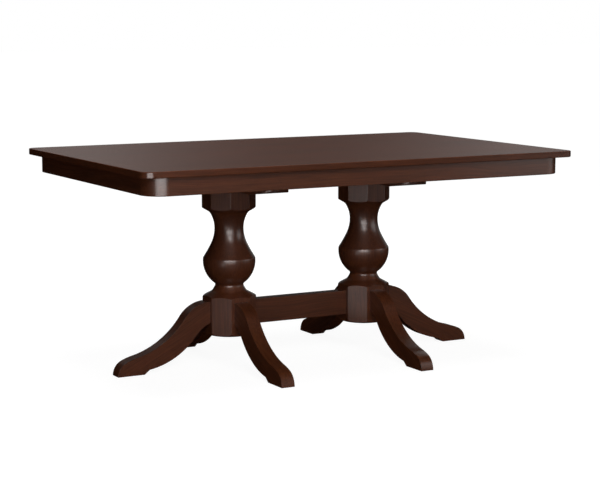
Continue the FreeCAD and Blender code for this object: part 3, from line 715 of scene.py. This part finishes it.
def leg_outline():
    """A leg from the side, over its shoulder, instep and foot to the toe, then by the sole, heel, arch and haunch."""
    shoulder_centre = spot(0, LEG_ROOT_TOP - LEG_SHOULDER_RADIUS)
    toe_centre = spot(LEG_REACH - LEG_TOE_RADIUS, 0)
    foot_centre = toe_centre + leaning(LEG_TOE_LEAN) * (LEG_TOE_RADIUS - LEG_FOOT_RADIUS)
    instep_centre = common_centre(shoulder_centre, LEG_SHOULDER_RADIUS + LEG_INSTEP_RADIUS,
                                  foot_centre, LEG_FOOT_RADIUS + LEG_INSTEP_RADIUS)
    shoulder_lean = lean_of(instep_centre - shoulder_centre)
    ankle_lean = lean_of(instep_centre - foot_centre)
    top = sweep(shoulder_centre, LEG_SHOULDER_RADIUS, 0, shoulder_lean, 20)
    top += sweep(instep_centre, -LEG_INSTEP_RADIUS, shoulder_lean, ankle_lean, 24)[1:]
    top += sweep(foot_centre, LEG_FOOT_RADIUS, ankle_lean, LEG_TOE_LEAN, 16)[1:]
    top += sweep(toe_centre, LEG_TOE_RADIUS, LEG_TOE_LEAN, math.pi / 2, 16)[1:]
    toe = spot(LEG_REACH, 0)
    heel = toe - spot(LEG_SOLE, 0)
    heel_top = heel + spot(*LEG_HEEL)
    haunch_centre = spot(0, LEG_ROOT_BOTTOM) - leaning(LEG_HAUNCH_LEAN) * LEG_HAUNCH_RADIUS
    arch_centre = common_centre(haunch_centre, LEG_HAUNCH_RADIUS + LEG_ARCH_RADIUS, heel_top, LEG_ARCH_RADIUS)
    joint_lean = lean_of(arch_centre - haunch_centre)
    under = sweep(arch_centre, -LEG_ARCH_RADIUS, lean_of(arch_centre - heel_top), joint_lean, 20)
    under += sweep(haunch_centre, LEG_HAUNCH_RADIUS, joint_lean, LEG_HAUNCH_LEAN, 16)[1:]
    return top + [heel] + under


def make_leg(side, name, x, direction):
    turn = Matrix.Rotation(math.radians(direction), 3, "Z")
    root = Vector((x, 0, 0)) + turn @ Vector((COLUMN_FLAT, 0, 0))
    half = LEG_THICKNESS / 2

    def lay(out, up, across):
        return root + turn @ Vector((out, across, up))

    leg = extruded(f"leg_{side}_{name}_carved", leg_outline(), -half, half, lay)

    def eased(start, end):
        first, last = (turn.inverted() @ (p - root) for p in (start, end))
        along_side = abs(first.y - last.y) < SURFACE_GAP
        at_root = max(first.x, last.x) < SURFACE_GAP / 2
        low, high = sorted((first.z, last.z))
        at_floor = low < SURFACE_GAP / 2 and high < LEG_HEEL[1] + SURFACE_GAP / 2
        return along_side and not at_root and not at_floor

    ease(leg, LEG_EASE, eased)
    weld = leg.modifiers.new("no_slivers", "WELD")
    weld.merge_threshold = LEG_WELD * MM
    outwards = turn @ Vector((1, 0, 0))
    across = turn @ Vector((0, -1, 0))
    return dress(lay_grain(leg, outwards, across), STAINED_LEG, "stained_wood", f"leg_{side}_{name}")


def make_stretcher():
    half_y = STRETCHER_THICKNESS / 2
    low = STRETCHER_TOP - STRETCHER_DEPTH
    outline = [(-half_y, low), (half_y, low), (half_y, STRETCHER_TOP), (-half_y, STRETCHER_TOP)]
    half_x = PEDESTAL_X - COLUMN_FLAT

    def lay(y, z, along):
        return (along, y, z)

    beam = extruded("stretcher_beam", outline, -half_x, half_x, lay)
    ease(beam, STRETCHER_EASE, lambda a, b: abs(a.x - b.x) > SURFACE_GAP)
    return dress(lay_grain(beam, (1, 0, 0), (0, -1, 0)), STAINED, "stained_wood", "stretcher")


# Hardware, each kind made once along its own Z axis and then set in its places

def loop_of(reach, rise, steps=24):
    """A loop round the Z axis; its radius and height are numbers or functions of the angle."""
    points = []
    for k in range(steps):
        angle = 2 * math.pi * k / steps
        radius = reach(angle) if callable(reach) else reach
        height = rise(angle) if callable(rise) else rise
        points.append((radius * math.cos(angle), radius * math.sin(angle), height))
    return points


def thread(radius, depth, pitch, low, high, steps=24):
    """Loops of a screw thread between two heights."""
    rows = round((high - low) / pitch * 4)

    def crest(height):
        return lambda angle: radius - depth * abs(2 * ((height / pitch - angle / (2 * math.pi)) % 1) - 1)

    heights = [low + (high - low) * row / rows for row in range(rows + 1)]
    return [loop_of(crest(height), height, steps) for height in heights]


def hexagon(corners):
    """Reach of a hexagon by angle, the radius of its round end face, and how far the chamfer comes down."""
    apothem = corners / 2 * math.cos(math.pi / 6)
    face = apothem * 0.95

    def reach(angle):
        return apothem / math.cos(angle % (math.pi / 3) - math.pi / 6)

    def chamfer(angle):
        return (reach(angle) - face) * math.tan(math.pi / 6)

    return reach, face, chamfer


def hanger_bolt():
    end = BOLT_LENGTH
    radius = BOLT_DIAMETER / 2
    loops = [loop_of(radius - 1.1, 0), loop_of(radius - 0.8, 0.3)]
    loops += thread(radius, 0.8, 1.6, 0.8, NUT_THREAD_END)
    plain = (NUT_THREAD_END + SURFACE_GAP, end - BOLT_THREAD_START - SURFACE_GAP)
    loops += [loop_of(radius - 0.5, height) for height in plain]
    loops += thread(radius, 1.3, 3.6, end - BOLT_THREAD_START, end - SCREW_POINT)
    return skin(loops + [loop_of(1.0, end)])


def hex_nut():
    reach, face, chamfer = hexagon(NUT_CORNERS)
    hole, tall = BOLT_DIAMETER / 2 + 0.05, NUT_HEIGHT
    return skin([
        loop_of(hole, 0.7), loop_of(hole + 0.7, 0), loop_of(face, 0), loop_of(reach, chamfer),
        loop_of(reach, lambda angle: tall - chamfer(angle)), loop_of(face, tall), loop_of(hole + 0.7, tall),
        loop_of(hole, tall - 0.7),
    ], pierced=True)


def flat_washer():
    hole, edge, thick = BOLT_DIAMETER / 2 + 0.4, WASHER_DIAMETER / 2, WASHER_THICKNESS
    section = [(hole, 0.2), (hole + 0.2, 0), (edge - 0.4, 0), (edge, 0.4)]
    section += [(radius, thick - height) for radius, height in reversed(section)]
    return skin([loop_of(radius, height, 40) for radius, height in section], pierced=True)


def lag_screw():
    reach, face, chamfer = hexagon(LAG_HEAD_CORNERS)
    top, radius, end = -LAG_HEAD_HEIGHT, LAG_DIAMETER / 2, LAG_LENGTH
    loops = [loop_of(face, top), loop_of(reach, lambda angle: top + chamfer(angle)), loop_of(reach, 0)]
    loops += [loop_of(radius, 0), loop_of(radius, LAG_SHANK)]
    loops += thread(radius, 1.1, 3.2, LAG_SHANK + SURFACE_GAP, end - SCREW_POINT)
    return skin(loops + [loop_of(0.8, end)])


def wood_screw(head, shank, end, rim):
    """A wood screw that points up from its head's seat; rim is the head's outline from its cross recess outwards."""
    arm, slot, steps = 0.62 * head, 0.17 * head, 48
    face = rim[0][1]

    def cross(angle):
        off = abs((angle + math.pi / 4) % (math.pi / 2) - math.pi / 4)
        return arm / math.cos(off) if math.tan(off) <= slot / arm else slot / math.sin(off)

    loops = [loop_of(lambda angle: 0.6 * cross(angle), face + 0.36 * head, steps), loop_of(cross, face, steps)]
    tip = [(shank, rim[-1][1] + head - shank), (0.8 * shank, 0.85 * end), (0.3, end)]
    return skin(loops + [loop_of(radius, height, steps) for radius, height in rim + tip])


def pan_screw(head, shank, end):
    tall = 0.55 * head
    outline = ((0.72, 0.97), (0.84, 0.82), (0.93, 0.58), (0.98, 0.3), (0.98, 0.0), (shank / head, 0.0))
    return wood_screw(head, shank, end, [(share * head, -height * tall) for share, height in outline])


def countersunk_screw(head, shank, end):
    return wood_screw(head, shank, end, [(0.95 * head, -0.25), (head, -0.1), (head, 0.2)])


def clip_profile():
    """The bent part of a clip, from the foot's upper face round the tongue to its lower face."""
    thick, inner = CLIP_THICKNESS, CLIP_BEND
    outer = inner + thick
    foot_bend = spot(CLIP_FLAT, -outer)
    tongue_bend = spot(CLIP_FLAT - outer - inner, -CLIP_DROP + inner)
    line = sweep(foot_bend, outer, 0, -math.pi / 2, 6)
    line += sweep(tongue_bend, inner, math.pi / 2, math.pi, 4)
    line += [spot(-CLIP_TONGUE, -CLIP_DROP), spot(-CLIP_TONGUE, -CLIP_DROP - thick)]
    line += sweep(tongue_bend, outer, math.pi, math.pi / 2, 6)
    return line + sweep(foot_bend, inner, -math.pi / 2, 0, 4)


def bent_clip():
    """A Z-shaped clip: a tongue for the rail's groove, a riser, and a foot with a screw hole."""
    half, thick = CLIP_WIDTH / 2, CLIP_THICKNESS
    points, known, faces = [], {}, []

    def face(*corners):
        row = []
        for corner in corners:
            key = tuple(round(c, 3) for c in corner)
            if key not in known:
                known[key] = len(points)
                points.append(corner)
            row.append(known[key])
        faces.append(tuple(row))

    profile = clip_profile()
    hole = [spot(CLIP_HOLE_AT, 0) + leaning(math.pi / 2 - k * math.pi / 12) * CLIP_HOLE / 2 for k in range(13)]
    turn = spot(CLIP_END - CLIP_CORNER, half - CLIP_CORNER)
    rim = [spot(CLIP_FLAT, half)] + sweep(turn, CLIP_CORNER, 0, math.pi / 2, 6) + [spot(CLIP_END, 0)]
    for side in (-1, 1):
        for (x, z), (next_x, next_z) in zip(profile, profile[1:]):
            face((x, 0, z), (next_x, 0, next_z), (next_x, side * half, next_z), (x, side * half, z))
        face(*[(x, side * half, z) for x, z in profile])
        for z in (0, -thick):
            face((CLIP_FLAT, 0, z), *[(x, side * y, z) for x, y in rim + hole])
        for wall in (rim, hole):
            for (x, y), (next_x, next_y) in zip(wall, wall[1:]):
                upper = [(x, side * y, 0), (next_x, side * next_y, 0)]
                face(*upper, (next_x, side * next_y, -thick), (x, side * y, -thick))
    return points, faces


def set_out(name, shape, places, *nodes):
    """One steel piece made of a copy of a shape in each of its places."""
    points, faces = [], []
    for place in places:
        base = len(points)
        points += [place @ Vector(p) for p in shape[0]]
        faces += [tuple(base + k for k in face) for face in shape[1]]
    return dress(new_piece(name, points, faces), STEEL, "zinc_steel", *nodes)


def bolt_places(distance):
    """Lines out of each column towards its legs and the stretcher, from a distance from its axis."""
    lean = Matrix.Rotation(math.pi / 2, 4, "Y")
    places = []
    for x in (-PEDESTAL_X, PEDESTAL_X):
        for quarter in range(4):
            for z in BOLT_LEVELS:
                turn = Matrix.Rotation(quarter * math.pi / 2, 4, "Z")
                places.append(Matrix.Translation((x, 0, z)) @ turn @ Matrix.Translation((distance, 0, 0)) @ lean)
    return places


def clip_places():
    """Where each clip meets its rail under the top, turned into the room."""
    long_face, end_face = APRON_HALF_WIDTH - APRON_THICKNESS, APRON_HALF_LENGTH - APRON_THICKNESS
    along, across = APRON_CENTRE_X - CLIP_END_DISTANCE, APRON_CENTRE_Y - CLIP_END_DISTANCE
    places = []
    for side in (-1, 1):
        for x, y, quarter in ((side * along, -long_face, 1), (side * along, long_face, 3),
                              (-end_face, side * across, 0), (end_face, side * across, 2)):
            turn = Matrix.Rotation(quarter * math.pi / 2, 4, "Z")
            places.append(Matrix.Translation((x, y, TOP_UNDERSIDE)) @ turn)
    return places


def make_hardware():
    seat = RECESS_HALF - WASHER_THICKNESS
    set_out("flat_washers", flat_washer(), bolt_places(seat), "base_washers")
    set_out("hex_nuts", hex_nut(), bolt_places(seat - NUT_HEIGHT), "base_nuts")
    set_out("hanger_bolts", hanger_bolt(), bolt_places(seat - NUT_HEIGHT - BOLT_SPARE), "base_bolts")
    clips = clip_places()
    set_out("bent_clips", bent_clip(), clips, "apron_clips")
    under_foot = Matrix.Translation((CLIP_HOLE_AT, 0, -CLIP_THICKNESS))
    set_out("clip_screws", pan_screw(*CLIP_SCREW), [place @ under_foot for place in clips])
    sides = (-1, 1)
    columns = [side * PEDESTAL_X for side in sides]
    lag_places = [(x + dx * LAG_OFFSET, dy * LAG_OFFSET, PLATE_TOP) for x in columns for dx in sides for dy in sides]
    flipped = Matrix.Rotation(math.pi, 4, "X")
    set_out("hex_lag_screws", lag_screw(), [Matrix.Translation(p) @ flipped for p in lag_places], "column_screws")
    plate_places = [(x + dx * PLATE_SCREW_OFFSET, dy * RUNNER_Y, PLATE_BOTTOM)
                    for x in columns for dx in sides for dy in sides]
    set_out("plate_screws", countersunk_screw(*PLATE_SCREW), [Matrix.Translation(p) for p in plate_places])
    runner_places = [(side * x, row * RUNNER_Y, PLATE_TOP) for side in sides for x in RUNNER_SCREWS for row in sides]
    set_out("runner_screws", countersunk_screw(*RUNNER_SCREW), [Matrix.Translation(p) for p in runner_places])


TOP = make_top()
for turn_index, (rail_side, rail_half, rail_distance) in enumerate((
    ("front", APRON_CENTRE_X, APRON_HALF_WIDTH),
    ("right", APRON_CENTRE_Y, APRON_HALF_LENGTH),
    ("back", APRON_CENTRE_X, APRON_HALF_WIDTH),
    ("left", APRON_CENTRE_Y, APRON_HALF_LENGTH),
)):
    make_rail(rail_side, rail_half, rail_distance, turn_index)
for turn_index, (corner_name, way_x, way_y) in enumerate((
    ("front_left", -1, -1), ("front_right", 1, -1), ("back_right", 1, 1), ("back_left", -1, 1),
)):
    make_corner(corner_name, way_x, way_y, turn_index)
make_runner("front", -RUNNER_Y)
make_runner("back", RUNNER_Y)
for pedestal, pedestal_x, end_direction in (("left", -PEDESTAL_X, 180), ("right", PEDESTAL_X, 0)):
    make_plate(pedestal, pedestal_x)
    make_column(pedestal, pedestal_x)
    make_leg(pedestal, "end", pedestal_x, end_direction)
    make_leg(pedestal, "front", pedestal_x, 270)
    make_leg(pedestal, "back", pedestal_x, 90)
make_stretcher()

make_hardware()
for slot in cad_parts["apron_tenons"].material_slots:
    slot.material = INNER


# Floor, light and camera

def stage_mesh(name, points, faces):
    mesh = bpy.data.meshes.new(name)
    mesh.from_pydata(points, [], faces)
    item = bpy.data.objects.new(name, mesh)
    bpy.context.scene.collection.objects.link(item)
    return item


def make_floor():
    """Pale from above, and clear from below so that the underside can be seen."""
    corners = [(x * FLOOR_HALF, y * FLOOR_HALF, 0) for x, y in ((-1, -1), (1, -1), (1, 1), (-1, 1))]
    floor = stage_mesh("floor", corners, [(0, 1, 2, 3)])
    material = bpy.data.materials.new("pale_floor")
    material.use_nodes = True
    tree = material.node_tree
    tree.nodes.clear()
    nodes = Nodes(tree)
    rays = nodes.add("ShaderNodeLightPath")
    seen = nodes.math("MAXIMUM", rays.outputs["Is Camera Ray"], rays.outputs["Is Transmission Ray"])
    geometry = nodes.add("ShaderNodeNewGeometry")
    away = nodes.vector("LENGTH", geometry.outputs["Position"])
    level = nodes.remap(away, FLOOR_NEAR, FLOOR_FAR, FLOOR_NEAR_LEVEL, 1.0)
    glow = nodes.add("ShaderNodeEmission", {"Strength": nodes.math("MULTIPLY", seen, level)})
    paper = nodes.add("ShaderNodeBsdfDiffuse", {"Color": colour(*FLOOR_COLOUR)})
    both = nodes.add("ShaderNodeAddShader")
    tree.links.new(glow.outputs[0], both.inputs[0])
    tree.links.new(paper.outputs[0], both.inputs[1])
    clear = nodes.add("ShaderNodeBsdfTransparent")
    from_below = nodes.add("ShaderNodeMixShader", {"Fac": geometry.outputs["Backfacing"]})
    tree.links.new(both.outputs[0], from_below.inputs[1])
    tree.links.new(clear.outputs[0], from_below.inputs[2])
    output = nodes.add("ShaderNodeOutputMaterial")
    tree.links.new(from_below.outputs[0], output.inputs["Surface"])
    floor.data.materials.append(material)
    floor.visible_glossy = False
    floor.visible_shadow = False


def make_world():
    """White to the camera; gloss sees a dim band near the level instead, palest to the camera's right."""
    world = bpy.data.worlds.new("studio")
    bpy.context.scene.world = world
    world.use_nodes = True
    world.node_tree.nodes.clear()
    nodes = Nodes(world.node_tree)
    rays = nodes.add("ShaderNodeLightPath")
    seen = nodes.math("MAXIMUM", rays.outputs["Is Camera Ray"], rays.outputs["Is Transmission Ray"])
    towards = nodes.add("ShaderNodeTexCoord").outputs["Generated"]
    aside = nodes.vector("DOT_PRODUCT", towards, CAMERA_RIGHT)
    rise = nodes.add("ShaderNodeSeparateXYZ", {"Vector": towards}).outputs["Z"]
    square = nodes.math("MULTIPLY", aside, aside)
    growing = nodes.math("MULTIPLY_ADD", square, SURROUND_RISE, SURROUND_MIDDLE)
    pale = nodes.math("MINIMUM", growing, SURROUND_MOST)
    band = nodes.math("MULTIPLY", nodes.remap(rise, -0.02, 0.05), nodes.remap(rise, 0.35, 0.12))
    surround = nodes.math("MULTIPLY", nodes.math("MULTIPLY", pale, band), nodes.remap(aside, -0.45, -0.2))
    dim = nodes.mix(rays.outputs["Is Glossy Ray"], colour(*AMBIENT), surround)
    shade = nodes.mix(seen, dim, colour(1, 1, 1))
    sky = nodes.add("ShaderNodeBackground", {"Color": shade, "Strength": 1.0})
    output = nodes.add("ShaderNodeOutputWorld")
    world.node_tree.links.new(sky.outputs[0], output.inputs["Surface"])


def make_lamp(name, azimuth, rise, height, distance, size, radiance, use, receivers="ALL"):
    """A rectangular softbox; azimuth 0 is in front of the table and grows to the right.

    Its light arrives from the given rise above the level at a point on the table's axis. It lights either the gloss
    or the colour of the pieces, as each needs other places. A card that the top would mirror as a white sheet in views
    from behind leaves the top out, and the white lamps stand for the pale studio that steel mirrors.
    """
    side, lift = math.radians(azimuth), math.radians(rise)
    back = Vector((math.sin(side) * math.cos(lift), -math.cos(side) * math.cos(lift), math.sin(lift)))
    lamp = bpy.data.lights.new(name, "AREA")
    lamp.shape = "RECTANGLE"
    lamp.size, lamp.size_y = size
    lamp.energy = radiance * math.pi * size[0] * size[1]
    item = bpy.data.objects.new(name, lamp)
    bpy.context.scene.collection.objects.link(item)
    item.location = Vector((0, 0, height)) + back * distance
    item.rotation_euler = (-back).to_track_quat("-Z", "Y").to_euler()
    item.visible_camera = False
    item.visible_diffuse = use == "COLOUR"
    item.visible_glossy = use == "GLOSS"
    if receivers != "ALL":
        linked = bpy.data.collections.new(f"{name}_receivers")
        pieces, state = RECEIVERS[receivers]
        for k, piece in enumerate(pieces):
            linked.objects.link(piece)
            linked.collection_objects[k].light_linking.link_state = state
        item.light_linking.receiver_collection = linked


def make_camera():
    data = bpy.data.cameras.new("photo_camera")
    data.lens = CAMERA_LENS
    data.sensor_width = CAMERA_SENSOR
    camera = bpy.data.objects.new("photo_camera", data)
    bpy.context.scene.collection.objects.link(camera)
    camera.location = CAMERA_PLACE
    camera.rotation_euler = (math.pi / 2 + CAMERA_PITCH, 0, CAMERA_TURN)
    bpy.context.scene.camera = camera


STEEL_PIECES = [item for item in bpy.data.objects if item.type == "MESH" and STEEL in item.data.materials[:]]
RECEIVERS = {"TOP": ([TOP], "INCLUDE"), "NOT TOP": ([TOP], "EXCLUDE"), "STEEL": (STEEL_PIECES, "INCLUDE")}

make_floor()
make_world()
# Name, azimuth, rise, height aimed at, distance, size, radiance, what it lights and which pieces
for lamp_row in (
    ("left_card_low", -56, 0, -0.19, 3.0, (0.74, 0.42), 2.1, "GLOSS"),
    ("front_card_low", -26, 0, 0.58, 3.62, (3.0, 0.62), 8.6, "GLOSS"),
    ("front_card_middle", -26, 0, 1.2, 3.6, (1.6, 0.6), 1.6, "GLOSS", "NOT TOP"),
    ("front_card_high", -26, 0, 1.9, 3.6, (1.5, 0.8), 8.0, "GLOSS", "NOT TOP"),
    ("front_card_wide", -26, 0, 1.9, 3.62, (3.0, 0.8), 4.3, "GLOSS", "NOT TOP"),
    ("right_card_low", 53, 0, 0.35, 3.5, (2.2, 0.5), 0.6, "GLOSS"),
    ("right_card_middle", 53, 0, 0.9, 3.5, (2.2, 0.6), 1.9, "GLOSS", "NOT TOP"),
    ("right_card_high", 53, 0, 1.8, 3.5, (2.2, 1.2), 1.7, "GLOSS", "NOT TOP"),
    ("back_card_right", 124, 42, 0.5, 5.0, (1.6, 1.4), 2.8, "GLOSS", "NOT TOP"),
    ("back_card_left", -160, 42, 0.5, 5.0, (1.6, 1.4), 3.9, "GLOSS", "NOT TOP"),
    ("ceiling_card", 0, 88, 0.5, 4.5, (13.0, 13.0), 0.3, "GLOSS", "TOP"),
    ("white_below", 0, -88, 0.5, 3.5, (13.0, 13.0), 1.0, "GLOSS", "STEEL"),
    ("white_front", 0, 0, 0.5, 5.0, (10.0, 5.0), 1.0, "GLOSS", "STEEL"),
    ("white_right", 90, 0, 0.5, 5.0, (10.0, 5.0), 1.0, "GLOSS", "STEEL"),
    ("white_back", 180, 0, 0.5, 5.0, (10.0, 5.0), 1.0, "GLOSS", "STEEL"),
    ("white_left", -90, 0, 0.5, 5.0, (10.0, 5.0), 1.0, "GLOSS", "STEEL"),
    ("left_fill", -45, 0, 0.7, 4.5, (2.4, 1.3), 2.1, "COLOUR"),
    ("front_fill", -12, 0, 0.7, 4.5, (2.8, 1.3), 1.1, "COLOUR"),
    ("right_fill", 60, 0, 0.7, 4.5, (2.4, 1.3), 1.9, "COLOUR"),
    ("key", -15, 30, 0.5, 5.0, (2.4, 1.6), 6.2, "COLOUR"),
    ("overhead", 0, 88, 0.5, 4.0, (3.0, 3.0), 4.0, "COLOUR"),
    ("back_light", 175, 50, 0.5, 5.0, (2.6, 1.6), 1.5, "COLOUR"),
    ("back_fill", 160, 0, 0.7, 4.5, (3.4, 1.3), 2.4, "COLOUR"),
    ("floor_bounce", 0, -80, 0.5, 4.0, (3.0, 3.0), 0.4, "COLOUR"),
):
    make_lamp(*lamp_row)
make_camera()
bpy.context.scene.view_settings.view_transform = "Standard"
